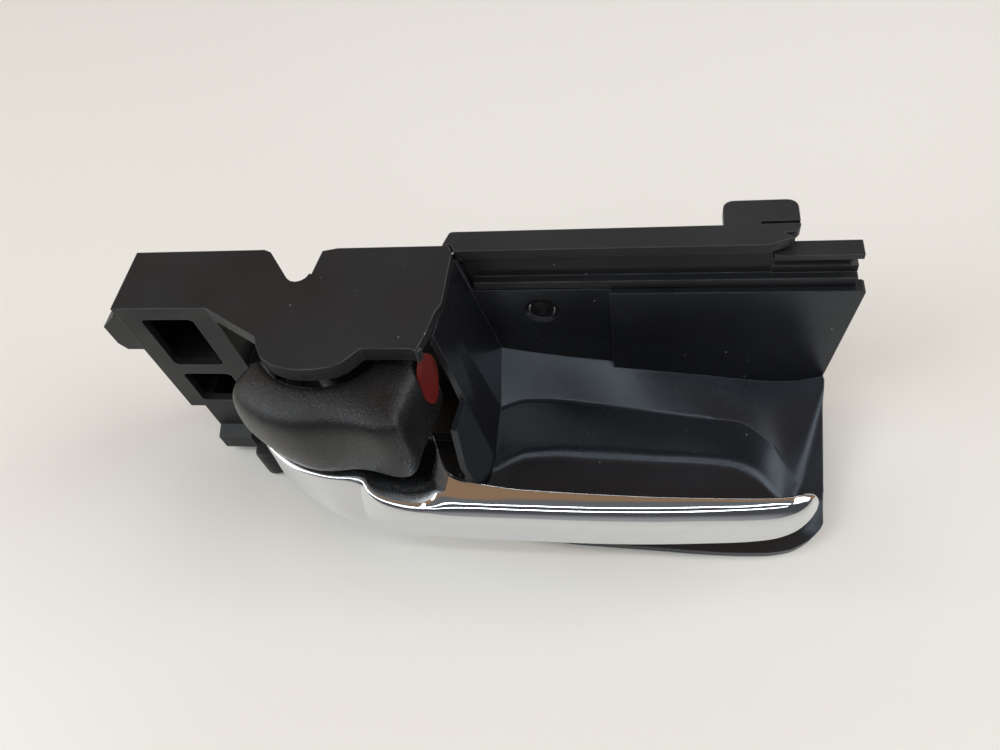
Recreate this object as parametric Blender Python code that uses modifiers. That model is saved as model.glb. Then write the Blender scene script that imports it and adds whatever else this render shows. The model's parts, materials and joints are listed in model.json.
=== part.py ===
"""Inside door handle of a car: a pull lever and a lock knob that turn on one upright pin.

Lengths are millimetres and become metres in the functions that make the meshes. +X runs along
the handle from the pin to the grip's tip, +Y points at the door panel, +Z is up. DATUM is the
point of these drawing coordinates that becomes the world's origin.
"""

import math

import bmesh
import bpy
from mathutils import Matrix, Vector

MM = 0.001
DATUM = Vector((-1.95, 2.36, 0.0))

# Driving dimensions
PIN_X, PIN_Y = -36.3, 6.0
PIN_RADIUS = 2.4
RUNNING = 0.1
GAP = 0.3
TOP_Z = 69.0
ROOF_THICK = 2.8
SKIRT_Z = 64.4
WALL, SKIN_WALL = 2.4, 2.3
FRAME_LEFT, FRAME_RIGHT = -94.1, -66.3
FRAME_FRONT, FRAME_BACK = 5.55, 25.3
LOBE_RADIUS = 19.5
RAIL_LEFT, CHANNEL_LEFT, RAIL_END = -6.4, -0.9, 95.5
RAIL_FRONT = 23.5
BACK_WALL_Y, PROUD_WALL_Y = 23.3, 21.7
BACK_WALL_TOP = 53.7
PANEL_SEAM_X = 35.0
HOLE_X, HOLE_Z, HOLE_RADIUS = 16.2, 44.9, 3.6
LEVER_TOP = 35.6
HUB_RADIUS = 9.0
BUSH_RADIUS = 4.0
KNOB_BOTTOM, KNOB_INNER_RADIUS = 36.3, 18.8
ARM_Z = (8.0, 11.0)
CRANK_LENGTH = 16.5
TONGUE_SCREW_X, TONGUE_SCREW_Z = 6.5, (41.5, 50.0)

SEGMENTS = 48
PLASTIC_BLACK = (0.022, 0.022, 0.024, 1.0)
PLASTIC_GREY = (0.035, 0.035, 0.036, 1.0)
GLOSS_BLACK = (0.010, 0.010, 0.011, 1.0)


def clear_scene():
    for obj in list(bpy.data.objects):
        bpy.data.objects.remove(obj, do_unlink=True)


def new_collection(name, hidden):
    collection = bpy.data.collections.new(name)
    collection.hide_render = hidden
    bpy.context.scene.collection.children.link(collection)
    return collection


def material(name, color, roughness, metallic=0.0):
    made = bpy.data.materials.new(name)
    made.use_nodes = True
    shader = made.node_tree.nodes["Principled BSDF"]
    shader.inputs["Base Color"].default_value = color
    shader.inputs["Roughness"].default_value = roughness
    shader.inputs["Metallic"].default_value = metallic
    made.diffuse_color = color
    return made


def polar(radius, degrees, centre=(PIN_X, PIN_Y)):
    angle = math.radians(degrees)
    return (centre[0] + radius * math.cos(angle), centre[1] + radius * math.sin(angle))


def arc(radius, start, end, steps, centre=(PIN_X, PIN_Y)):
    return [polar(radius, start + (end - start) * i / steps, centre) for i in range(steps + 1)]


def rounded_rectangle(low, high, radius, steps=4):
    corners = (
        (high[0] - radius, high[1] - radius, 0),
        (low[0] + radius, high[1] - radius, 90),
        (low[0] + radius, low[1] + radius, 180),
        (high[0] - radius, low[1] + radius, 270),
    )
    return [p for x, y, turn in corners for p in arc(radius, turn, turn + 90, steps, (x, y))]


def ribbon(path, thickness):
    """The closed outline of a wall that has its left side, seen along the path, on the path."""
    inner = []
    for i, point in enumerate(path):
        here = Vector(point)
        before = Vector(path[max(i - 1, 0)])
        after = Vector(path[min(i + 1, len(path) - 1)])
        incoming = (here - before).normalized() if i else (after - here).normalized()
        outgoing = (after - here).normalized() if i < len(path) - 1 else incoming
        middle = (incoming + outgoing).normalized()
        normal = Vector((middle.y, -middle.x))
        square = Vector((incoming.y, -incoming.x))
        inner.append(here + normal * (thickness / max(normal.dot(square), 0.5)))
    return list(path) + [tuple(p) for p in reversed(inner)]


AXES = {
    "X": Matrix(((0, 0, 1), (1, 0, 0), (0, 1, 0))),
    "Y": Matrix(((1, 0, 0), (0, 0, -1), (0, 1, 0))),
    "Z": Matrix.Identity(3),
}


class Workshop:
    """Makes the solids, and keeps the two collections and the empties that carry them."""

    def __init__(self):
        self.parts = new_collection("inside_door_handle", False)
        self.cutters = new_collection("cutters", True)
        self.root = self.empty("handle_datum", (0.0, 0.0, 0.0), None)
        self.root.location = -DATUM * MM
        self.lever_axis = self.empty("lever_axis", (PIN_X, PIN_Y, 0.0), self.root)
        self.knob_axis = self.empty("knob_axis", (PIN_X, PIN_Y, 0.0), self.root)

    def empty(self, name, place, parent):
        made = bpy.data.objects.new(name, None)
        made.location = Vector(place) * MM
        made.parent = parent
        self.parts.objects.link(made)
        return made

    def finished(self, obj, surface, carrier=None):
        """Names the piece's material and hangs it on its carrier, with its origin there."""
        carrier = carrier or self.root
        offset = Vector((0, 0, 0)) if carrier == self.root else Vector((PIN_X, PIN_Y, 0)) * MM
        obj.data.transform(Matrix.Translation(-offset))
        for modifier in obj.modifiers:
            if modifier.type == "BOOLEAN":
                modifier.object.location = -offset
                modifier.object.parent = carrier
        obj.parent = carrier
        obj.data.materials.clear()
        obj.data.materials.append(surface)
        return obj

    def from_bmesh(self, name, mesh_data):
        mesh = bpy.data.meshes.new(name)
        mesh_data.to_mesh(mesh)
        mesh_data.free()
        made = bpy.data.objects.new(name, mesh)
        self.parts.objects.link(made)
        return made

    def prism(self, name, outline, low, high, axis="Z", holes=()):
        """A flat outline, less its holes, that is solid from low to high along the axis."""
        curve = bpy.data.curves.new(name + "_outline", "CURVE")
        curve.dimensions = "2D"
        curve.fill_mode = "BOTH"
        curve.extrude = 0.5 * (high - low) * MM
        for loop in (outline, *holes):
            spline = curve.splines.new("POLY")
            spline.points.add(len(loop) - 1)
            for point, (u, v) in zip(spline.points, loop):
                point.co = (u * MM, v * MM, 0.0, 1.0)
            spline.use_cyclic_u = True
        flat = bpy.data.objects.new(name + "_outline", curve)
        self.parts.objects.link(flat)
        turn = AXES[axis].to_4x4()
        middle = Vector((0.0, 0.0, 0.5 * (low + high) * MM * (-1 if axis == "Y" else 1)))
        made = self.meshed(name, flat)
        made.data.transform(turn @ Matrix.Translation(middle))
        return made

    def meshed(self, name, curve_object):
        """The curve object as a mesh with its caps welded on."""
        bpy.context.view_layer.update()
        graph = bpy.context.evaluated_depsgraph_get()
        mesh = bpy.data.meshes.new_from_object(curve_object.evaluated_get(graph))
        made = bpy.data.objects.new(name, mesh)
        self.parts.objects.link(made)
        bpy.data.objects.remove(curve_object, do_unlink=True)
        welded = bmesh.new()
        welded.from_mesh(mesh)
        bmesh.ops.remove_doubles(welded, verts=welded.verts, dist=1e-6)
        bmesh.ops.recalc_face_normals(welded, faces=welded.faces)
        welded.to_mesh(mesh)
        welded.free()
        return made

    def box(self, name, low, high):
        cube = bmesh.new()
        bmesh.ops.create_cube(cube, size=MM)
        size = [high[i] - low[i] for i in range(3)]
        centre = [0.5 * (high[i] + low[i]) * MM for i in range(3)]
        bmesh.ops.scale(cube, vec=size, verts=cube.verts)
        bmesh.ops.translate(cube, vec=centre, verts=cube.verts)
        return self.from_bmesh(name, cube)

    def cylinder(self, name, place, radius, low, high, axis="Z", end_radius=None, segments=SEGMENTS):
        """Round from low to high along the axis; place is the axis's point in the other two."""
        cone = bmesh.new()
        bmesh.ops.create_cone(
            cone,
            cap_ends=True,
            segments=segments,
            radius1=radius * MM,
            radius2=(end_radius or radius) * MM,
            depth=(high - low) * MM,
        )
        middle = 0.5 * (low + high)
        if axis == "Y":
            turn = Matrix.Rotation(math.radians(-90), 4, "X")
            shift = Matrix.Translation(Vector((place[0], middle, place[1])) * MM)
        elif axis == "X":
            turn = Matrix.Rotation(math.radians(90), 4, "Y")
            shift = Matrix.Translation(Vector((middle, place[0], place[1])) * MM)
        else:
            turn = Matrix.Identity(4)
            shift = Matrix.Translation(Vector((place[0], place[1], middle)) * MM)
        bmesh.ops.transform(cone, matrix=shift @ turn, verts=cone.verts)
        return self.from_bmesh(name, cone)

    def wire(self, name, points, radius):
        curve = bpy.data.curves.new(name + "_path", "CURVE")
        curve.dimensions = "3D"
        curve.bevel_depth = radius * MM
        curve.bevel_resolution = 2
        curve.use_fill_caps = True
        spline = curve.splines.new("POLY")
        spline.points.add(len(points) - 1)
        for point, place in zip(spline.points, points):
            point.co = (*(Vector(place) * MM), 1.0)
        made = bpy.data.objects.new(name + "_path", curve)
        self.parts.objects.link(made)
        return self.meshed(name, made)

    def loft(self, name, sections, capped):
        """Quads between sections of equal length. Capped sections are closed loops; open ones
        face the side from which the points run down and the sections run to the right."""
        grid = bmesh.new()
        rows = [[grid.verts.new(Vector(point) * MM) for point in section] for section in sections]
        count = len(sections[0])
        for row, following in zip(rows, rows[1:]):
            for i in range(count if capped else count - 1):
                j = (i + 1) % count
                grid.faces.new((row[i], row[j], following[j], following[i]))
        if capped:
            grid.faces.new(rows[0][::-1])
            grid.faces.new(rows[-1])
            bmesh.ops.recalc_face_normals(grid, faces=grid.faces)
        return self.from_bmesh(name, grid)

    def combine(self, target, others, operation):
        for other in others:
            self.parts.objects.unlink(other)
            self.cutters.objects.link(other)
            other.display_type = "WIRE"
            other.hide_render = True
            modifier = target.modifiers.new(other.name, "BOOLEAN")
            modifier.operation = operation
            modifier.solver = "EXACT"
            modifier.object = other
        return target

    def unite(self, target, *others):
        return self.combine(target, others, "UNION")

    def cut(self, target, *others):
        return self.combine(target, others, "DIFFERENCE")


def bevel(obj, width, segments=2, angle=40.0):
    modifier = obj.modifiers.new("edges", "BEVEL")
    modifier.width = width * MM
    modifier.segments = segments
    modifier.limit_method = "ANGLE"
    modifier.angle_limit = math.radians(angle)
    return obj


def subdivide(obj, levels):
    modifier = obj.modifiers.new("smooth", "SUBSURF")
    modifier.levels = levels
    modifier.render_levels = levels
    return obj


# Base frame


def roof_front():
    """The roof plate's front edge, from the window frame to the bowl."""
    return [
        (-66.9, 5.5),
        (-50.7, -3.6),
        (-49.7, -5.9),
        (-47.6, -9.6),
        *arc(LOBE_RADIUS, 246.0, 270.0, 6),
        (-33.2, -13.4),
        (-28.7, -12.6),
        (-26.0, -11.1),
        (-22.5, -7.3),
        (-10.1, -7.2),
        (-8.7, -8.0),
        (-7.1, -2.9),
        (-5.8, 3.7),
        (-4.5, 6.7),
        (-4.4, 23.2),
    ]


def roof_outline():
    notch = [(-35.6, 25.5), (-39.6, 24.6), (-40.7, 16.6), *arc(3.3, -10, -140, 5, (-44.6, 17.4))]
    return [
        (-94.1, 25.5),
        (FRAME_LEFT, FRAME_FRONT),
        *roof_front(),
        (-5.6, 25.5),
        *notch,
        (-54.2, 24.6),
        (-56.2, 25.5),
    ]


def make_base_frame(shop, surface):
    frame = shop.prism("base_frame", roof_outline(), TOP_Z - ROOF_THICK, TOP_Z)
    skirt_path = roof_front()[:-4]
    skirt = shop.prism("skirt", ribbon(skirt_path[::-1], 1.9), SKIRT_Z, TOP_Z - 1.0)
    windows = (
        rounded_rectangle((-88.1, 43.6), (-72.9, 64.3), 1.6),
        rounded_rectangle((-88.3, 25.0), (-73.2, 39.2), 1.6),
    )
    face_outline = [
        (FRAME_LEFT, TOP_Z - 1.0),
        (FRAME_LEFT, 21.8),
        (-89.4, 21.8),
        (-89.4, 6.3),
        (FRAME_RIGHT, 6.3),
        (FRAME_RIGHT, TOP_Z - 1.0),
    ]
    back_outline = [*face_outline[:4], (-60.0, 6.3), (-60.0, TOP_Z - 1.0)]
    front_y = (FRAME_FRONT, FRAME_FRONT + WALL)
    back_y = (FRAME_BACK - WALL, FRAME_BACK)
    face = shop.prism("window_face", face_outline, *front_y, axis="Y", holes=windows)
    back = shop.prism("back_face", back_outline, *back_y, axis="Y")
    left_upper = shop.box(
        "left_upper", (FRAME_LEFT, front_y[0] + 1, 21.8), (FRAME_LEFT + 2.6, back_y[1] - 1, TOP_Z - 1)
    )
    left_lower = shop.box("left_lower", (-89.4, front_y[0] + 1, 6.3), (-87.0, back_y[1] - 1, 23.0))
    step = shop.box("left_step", (FRAME_LEFT, front_y[0] + 1, 21.8), (-87.0, back_y[1] - 1, 24.2))
    shelf = shop.box("shelf", (FRAME_LEFT + 1, front_y[0] + 1, 40.4), (-62.5, back_y[1] - 1, 42.6))
    right_outline = [
        (front_y[0] + 1, TOP_Z - 1),
        (front_y[0] + 1, 6.3),
        (back_y[1] - 1, 6.3),
        (back_y[1] - 1, TOP_Z - 1),
    ]
    slots = (
        rounded_rectangle((12.0, 19.5), (20.0, 27.5), 2.0),
        rounded_rectangle((12.0, 46.0), (20.0, 56.0), 2.0),
    )
    right = shop.prism(
        "cable_wall", right_outline, FRAME_RIGHT - WALL, FRAME_RIGHT, axis="X", holes=slots
    )
    arm_outline = [
        (-89.0, 8.0),
        (-66.0, 8.0),
        (-50.0, 0.5),
        *arc(7.0, 250, 430, 10),
        (-41.0, 15.0),
        (-41.0, 25.0),
        (-60.0, 25.0),
        (-89.0, 25.0),
    ]
    arm = shop.prism("lower_arm", arm_outline, *ARM_Z)
    upper_boss = shop.cylinder("upper_boss", (PIN_X, PIN_Y), 7.0, 61.9, TOP_Z - 1.0)
    lower_boss = shop.cylinder("lower_boss", (PIN_X, PIN_Y), 6.5, 7.4, 12.0)
    lug_outline = [
        (-92.5, 50.0),
        (-92.5, 64.6),
        (-96.5, 64.6),
        (-101.6, 60.3),
        (-101.6, 52.8),
        (-100.0, 50.0),
    ]
    lug = shop.prism("locating_lug", lug_outline, 6.4, 11.6, axis="Y")
    tab_outline = [(6.5, 11.3), (1.6, 9.4), (1.6, 3.4), (2.6, 2.4), (6.5, 2.4)]
    tab = shop.prism("locating_tab", tab_outline, -89.2, -78.2, axis="X")
    tab_web = shop.box("tab_web", (-88.0, 6.0, 2.4), (-80.0, 8.0, 7.4))
    peg = bevel(shop.cylinder("peg", (-71.2, -3.0), 3.5, 0.0, 11.4, segments=24), 1.0)
    peg_neck = shop.box("peg_neck", (-73.2, -3.0, 7.2), (-69.2, 9.0, 9.8))
    rear_corner = shop.box("rear_corner", (-61.0, 23.1, 39.0), (-46.0, 25.1, 52.0))
    stop_post = shop.box("stop_post", (-45.6, 19.0, ARM_Z[1] - 1), (-43.0, 24.6, 27.0))
    post_outline = [
        (23.0, 37.0),
        (28.3, 37.0),
        (28.3, 60.0),
        (25.3, 63.0),
        (25.3, TOP_Z - 1.2),
        (23.0, TOP_Z - 1.2),
    ]
    rear_post = shop.prism("rear_post", post_outline, -14.0, -8.6, axis="X")
    tongue = shop.box("rear_tongue", (-12.0, 25.9, 38.0), (12.0, 28.1, 53.4))
    tongue_holes = [
        shop.cylinder(f"tongue_hole_{z:.0f}", (TONGUE_SCREW_X, z), 1.6, 25.0, 30.0, axis="Y")
        for z in TONGUE_SCREW_Z
    ]
    bridge_outline = [(-43.6, 12.3), (-31.2, 4.2), (-4.6, 4.2), (-1.0, 9.0), (0.6, 24.4), (-43.6, 24.4)]
    bridge = shop.prism("bridge", bridge_outline, ARM_Z[0] + 0.3, ARM_Z[1] - 0.3)
    riser = shop.box("bridge_riser", (-29.7, 4.6, 2.7), (-5.4, 6.8, ARM_Z[1] - 0.9))
    lip_outline = [(-28.9, 6.2), (-28.9, 3.0), (-22.0, -9.0), (-10.2, -9.0), (-6.1, 3.6), (-6.1, 6.2)]
    lip = shop.prism("bridge_lip", lip_outline, 2.3, 5.2)
    rear_wall = shop.box("rear_wall", (-23.2, 22.2, ARM_Z[0] + 1.1), (-4.4, 24.1, 38.2))
    upper_wall = shop.box("upper_rear_wall", (-22.6, 22.5, 35.7), (-8.9, 24.7, TOP_Z - 1.3))
    spring_post = shop.cylinder("spring_post", (-50.0, 7.5), 1.6, ARM_Z[1] - 1, 18.0)
    pin_bore = shop.cylinder(
        "pin_bore", (PIN_X, PIN_Y), PIN_RADIUS + RUNNING, 6.0, TOP_Z - ROOF_THICK
    )
    shop.unite(frame, skirt, face, back, left_upper, left_lower, step, shelf, right)
    shop.unite(frame, arm, upper_boss, lower_boss, lug, tab, tab_web, peg, peg_neck)
    shop.unite(frame, spring_post, rear_corner, stop_post, bridge, riser, lip)
    shop.unite(frame, rear_wall, upper_wall, rear_post, tongue)
    shop.cut(frame, pin_bore, *tongue_holes)
    shop.finished(frame, surface)


# Trim rail


def make_trim_rail(shop, surface):
    """The channel that the door trim's edge slides into, with the tab behind its right end."""
    channel = [
        (28.3, 67.0),
        (25.9, 67.0),
        (25.9, 56.6),
        (RAIL_FRONT, 56.6),
        (RAIL_FRONT, 54.1),
        (28.3, 54.1),
    ]
    far_channel = [
        (28.3, 65.0),
        (RAIL_FRONT, 65.0),
        (RAIL_FRONT, 63.4),
        (25.6, 62.6),
        (25.6, 60.8),
        (24.4, 60.2),
        (25.6, 59.2),
        (25.6, 56.6),
        (RAIL_FRONT, 56.6),
        (RAIL_FRONT, 54.1),
        (28.3, 54.1),
    ]
    flange = [
        (-3.9, RAIL_FRONT),
        (73.0, RAIL_FRONT),
        (79.0, 25.7),
        (73.8, 30.3),
        (RAIL_LEFT + 0.9, 30.3),
        (RAIL_LEFT + 0.3, 29.8),
        (RAIL_LEFT - 0.9, 25.8),
        (RAIL_LEFT + 1.3, 25.8),
    ]
    rail = shop.prism("trim_rail", channel, CHANNEL_LEFT, 76.0, axis="X")
    backing = shop.box("channel_backing", (-3.4, 25.9, 54.1), (3.4, 28.3, 67.0))
    far = shop.prism("far_rail", far_channel, 75.0, RAIL_END, axis="X")
    top = shop.prism("top_flange", flange, 66.0, TOP_Z)
    tab_outline = rounded_rectangle((63.0, 27.5), (81.0, 38.6), 2.6)
    tab = shop.prism("rear_tab", tab_outline, TOP_Z - 2.6, TOP_Z)
    tab_web = shop.box("rear_tab_web", (76.5, 26.5, 60.0), (79.5, 34.0, TOP_Z - 1.0))
    slit = shop.box("rear_tab_slit", (71.8, 30.4, 60.0), (82.0, 31.4, TOP_Z + 1.0))
    end_cut = [(RAIL_END + 1, 62.5), (RAIL_END - 2.2, 60.5), (RAIL_END + 1, 58.0)]
    end_notch = shop.prism("rail_end_notch", end_cut, 20.0, 30.0, axis="Y")
    shop.unite(rail, backing, far, top, tab, tab_web)
    shop.cut(rail, slit, end_notch)
    shop.finished(rail, surface)


# Finger bowl

# Each column runs down the bowl: the ledge's upper edge, its lower edge, the foot of the lower
# wall, the floor and the front lip. The columns go from the left wall round to the right rim.
BOWL_COLUMNS = (
    ((1.2, 24.4, 28.9), (1.2, 6.6, 18.8), (-0.4, -3.6, 3.6), (-3.0, -12.0, 2.6), (-7.5, -14.0, 2.4)),
    ((4.6, 24.4, 28.0), (4.6, 8.6, 19.1), (3.6, -0.6, 3.2), (4.0, -12.0, 2.5), (4.0, -19.5, 2.4)),
    ((9.0, 24.4, 26.8), (9.0, 10.3, 19.2), (8.2, 1.8, 3.2), (9.0, -12.0, 2.5), (12.0, -23.4, 2.4)),
    ((18.0, 24.4, 24.8), (18.0, 11.5, 17.9), (16.8, 2.6, 3.2), (18.0, -12.0, 2.5), (22.0, -25.2, 2.4)),
    ((35.0, 24.4, 21.8), (35.0, 11.3, 15.4), (33.0, 1.9, 3.2), (34.0, -12.0, 2.5), (35.0, -25.8, 2.4)),
    ((49.0, 24.4, 19.3), (49.0, 10.1, 14.2), (47.0, 1.3, 3.2), (48.0, -12.0, 2.5), (47.0, -26.2, 2.4)),
    ((62.5, 24.4, 17.0), (62.2, 9.2, 13.1), (60.0, 0.9, 3.2), (61.0, -12.0, 2.5), (60.0, -26.7, 2.4)),
    ((73.0, 24.4, 14.9), (71.4, 8.1, 12.7), (69.6, -0.4, 3.4), (70.0, -12.0, 2.6), (71.0, -26.7, 2.4)),
    ((83.0, 24.4, 14.0), (78.2, 3.3, 10.9), (75.4, -4.2, 3.7), (76.0, -14.0, 2.8), (78.0, -26.2, 2.4)),
    ((89.0, 24.4, 15.2), (82.1, -2.5, 8.7), (79.3, -9.2, 3.8), (80.2, -16.4, 3.0), (83.6, -24.8, 2.4)),
    ((93.6, 22.0, 16.6), (84.8, -6.7, 7.0), (82.2, -13.0, 3.8), (83.2, -18.2, 3.1), (87.6, -22.4, 2.6)),
    ((93.2, 13.8, 13.7), (86.3, -7.9, 6.1), (83.9, -13.9, 4.1), (84.8, -18.3, 3.4), (88.8, -21.4, 2.8)),
    ((92.8, 5.0, 11.0), (87.8, -9.4, 6.1), (85.8, -14.4, 4.4), (86.5, -18.2, 3.7), (89.8, -20.4, 3.0)),
    ((92.4, -4.0, 8.2), (89.9, -11.2, 6.2), (88.9, -14.6, 5.0), (89.4, -17.2, 4.2), (91.0, -19.0, 3.3)),
    ((92.1, -9.0, 7.0), (91.8, -12.4, 6.1), (91.7, -14.4, 5.3), (91.7, -16.2, 4.5), (91.7, -17.6, 3.7)),
)
COLUMN_STEPS = 4
# Shares of the neighbouring faces that the ledge's edge and the lower wall's foot take up.
EDGE_EASE, FOOT_EASE = 0.05, 0.22


def travel(points, k):
    """The direction through point k, as long as the way to its nearer neighbour."""
    before = points[k] - points[max(k - 1, 0)]
    after = points[min(k + 1, len(points) - 1)] - points[k]
    if k == 0:
        return after
    if k == len(points) - 1:
        return before
    share = after.length / (before.length + after.length)
    heading = before.normalized() * share + after.normalized() * (1.0 - share)
    return heading * min(before.length, after.length)


def between(points, k, t):
    """The point at share t of the way from point k to the next, on a smooth curve."""
    first, second = points[k], points[k + 1]
    bulge = travel(points, k) * t * (1 - t) ** 2 - travel(points, k + 1) * (1 - t) * t**2
    return first * (1 + 2 * t) * (1 - t) ** 2 + second * t**2 * (3 - 2 * t) + bulge


def bowl_profile(column):
    """One column with its ledge's edge eased and a fillet where the lower wall meets the floor."""
    top, edge, foot, floor, lip = column
    high, low = foot.lerp(edge, FOOT_EASE), foot.lerp(floor, FOOT_EASE)
    fillet = [high.lerp(foot, t).lerp(foot.lerp(low, t), t) for t in (0.0, 0.25, 0.5, 0.75, 1.0)]
    rounded_off = edge.lerp(top.lerp(foot, 0.5), 0.25 * EDGE_EASE)
    eased = (edge.lerp(top, EDGE_EASE), rounded_off, edge.lerp(foot, EDGE_EASE))
    ledge = [top.lerp(edge, t) for t in (0.0, 0.25, 0.5, 0.75)]
    return [*ledge, *eased, *fillet, floor, floor.lerp(lip, 0.5), lip]


def bowl_sections():
    rows = [[Vector(column[i]) for column in BOWL_COLUMNS] for i in range(len(BOWL_COLUMNS[0]))]
    columns = []
    for k in range(len(BOWL_COLUMNS) - 1):
        for step in range(COLUMN_STEPS):
            columns.append([between(row, k, step / COLUMN_STEPS) for row in rows])
    columns.append([row[-1] for row in rows])
    return [bowl_profile(column) for column in columns]


def make_finger_bowl(shop, surface):
    skin = shop.loft("bowl_skin", bowl_sections(), capped=False)
    shell = skin.modifiers.new("wall", "SOLIDIFY")
    shell.thickness = SKIN_WALL * MM
    shell.offset = -1.0
    shell.use_even_offset = True
    left_outline = [
        (-5.6, TOP_Z - 3.3),
        (0.6, 27.0),
        (36.0, 19.6),
        (36.0, BACK_WALL_TOP),
        (-1.6, BACK_WALL_TOP),
        (-3.7, TOP_Z - 3.3),
    ]
    back_left = shop.prism(
        "finger_bowl",
        left_outline,
        BACK_WALL_Y,
        25.6,
        axis="Y",
    )
    right_outline = [
        (PANEL_SEAM_X, BACK_WALL_TOP),
        (PANEL_SEAM_X, 20.0),
        (83.5, 12.2),
        (93.4, 15.4),
        (97.7, 53.2),
        (97.0, BACK_WALL_TOP),
    ]
    back_right = shop.prism("back_panel_right", right_outline, PROUD_WALL_Y, 25.6, axis="Y")
    wall_feet = [(-4.6, -11.5), (1.0, -1.5), (5.8, 8.0), (7.5, 25.6)]
    wall_tops = [(-12.0, -11.5), (-6.2, -1.5), (-5.2, 8.0), (-4.2, 25.4)]
    rings = (
        [(x, y, z) for x, y in ribbon(path[::-1], 1.6)]
        for path, z in ((wall_feet, 1.2), (wall_tops, TOP_Z - ROOF_THICK - GAP))
    )
    left_wall = shop.loft("left_wall", list(rings), capped=True)
    free_edge = [
        (-1.0, 70.0),
        (-1.5, 37.5),
        (-7.5, 32.0),
        (-10.5, 16.5),
        (-10.5, 8.0),
        (-11.6, 0.0),
        (-20.0, 0.0),
        (-20.0, 70.0),
    ]
    edge_cut = shop.prism("left_wall_edge", free_edge, -20.0, 10.0, axis="X")
    ribs = [
        shop.prism(
            f"stand_rib_{x:.0f}",
            [(24.6, high - 1.4), (24.6, 0.0), (-2.0, 0.0), (-2.0, 1.3), (4.0, 1.3), (9.5, high - 13.2)],
            x - 1.0,
            x + 1.0,
            axis="X",
        )
        for x, high in ((12.0, 25.8), (52.0, 18.4))
    ]
    foot = shop.prism("bowl_foot", [(10.0, -22.0), (70.0, -24.0), (70.0, 2.5), (10.0, 2.5)], 0.0, 1.6)
    hole = shop.cylinder("screw_hole", (HOLE_X, HOLE_Z), HOLE_RADIUS, 20.0, 30.0, axis="Y")
    sink = shop.cylinder("screw_sink", (HOLE_X, HOLE_Z), 5.4, 23.0, 23.9, axis="Y", end_radius=3.7)
    shop.unite(back_left, back_right, left_wall)
    shop.cut(back_left, edge_cut)
    blind_holes = [
        shop.cylinder(f"blind_hole_{z:.0f}", (TONGUE_SCREW_X, z), 1.6, 24.0, 30.0, axis="Y")
        for z in TONGUE_SCREW_Z
    ]
    shop.unite(back_left, skin, foot, *ribs)
    shop.cut(back_left, hole, sink, *blind_holes)
    shop.finished(back_left, surface)


# Lever

# Front skin of the lever in plan, from its left end to the grip's tip, with the depth back from
# that skin, the ridge's distance back and height, and the heights of the top and the bottom.
LEVER_STATIONS = (
    ((-60.3, -12.6), 3.2, 0.8, 34.2, 34.9, 24.0),
    ((-58.9, -14.9), 4.6, 0.8, 34.4, 35.2, 21.6),
    ((-55.4, -18.9), 5.4, 0.8, 34.4, 35.3, 19.8),
    ((-50.2, -22.9), 5.6, 0.9, 34.4, 35.3, 19.0),
    ((-44.8, -26.4), 5.8, 1.0, 34.4, 35.3, 18.6),
    ((-38.6, -29.4), 6.0, 1.2, 34.4, 35.4, 18.4),
    ((-31.6, -31.5), 6.6, 1.6, 34.4, 35.5, 18.2),
    ((-25.0, -32.5), 7.6, 2.2, 34.2, 35.6, 18.1),
    ((-17.0, -33.1), 10.0, 1.9, 32.8, 35.8, 18.0),
    ((-9.3, -33.5), 12.6, 1.7, 31.4, 36.0, 18.0),
    ((0.0, -33.8), 11.0, 1.6, 31.2, 36.0, 18.0),
    ((8.0, -33.9), 9.6, 1.6, 31.4, 36.0, 18.0),
    ((18.0, -34.0), 8.8, 1.6, 31.7, 36.0, 18.0),
    ((30.0, -34.1), 8.5, 1.6, 32.0, 36.1, 18.1),
    ((46.0, -34.0), 8.4, 1.6, 32.4, 36.1, 18.2),
    ((60.0, -33.6), 8.2, 1.6, 32.8, 36.1, 18.6),
    ((71.0, -32.7), 7.8, 1.5, 33.4, 36.0, 19.4),
    ((78.8, -31.0), 6.8, 1.4, 34.0, 35.8, 20.6),
    ((83.6, -28.6), 5.4, 1.2, 34.0, 35.2, 22.4),
    ((85.9, -26.2), 3.2, 0.8, 33.4, 34.2, 24.6),
)


def lever_section(station, inward):
    """Ten points round the lever at one station; inward is the way back from the front skin."""
    (x, y), depth, ridge_in, ridge_z, top, bottom = station
    half = 0.5 * (ridge_z + bottom)
    outline = (
        (0.0, half + 1.0),
        (0.3, ridge_z - 1.8),
        (ridge_in, ridge_z),
        (0.5 * (ridge_in + depth), 0.5 * (ridge_z + top) - 0.5),
        (depth - 0.6, top),
        (depth, top - 1.6),
        (depth - 0.3, half - 1.0),
        (depth - 0.25 * depth, bottom + 0.8),
        (0.45 * depth, bottom),
        (0.10 * depth, bottom + 2.4),
    )
    return [(x + inward[0] * d, y + inward[1] * d, z) for d, z in outline]


def lever_sections():
    sections = []
    places = [Vector(station[0]) for station in LEVER_STATIONS]
    for i, station in enumerate(LEVER_STATIONS):
        along = places[min(i + 1, len(places) - 1)] - places[max(i - 1, 0)]
        inward = Vector((-along.y, along.x)).normalized()
        sections.append(lever_section(station, inward))
    return sections


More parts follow.
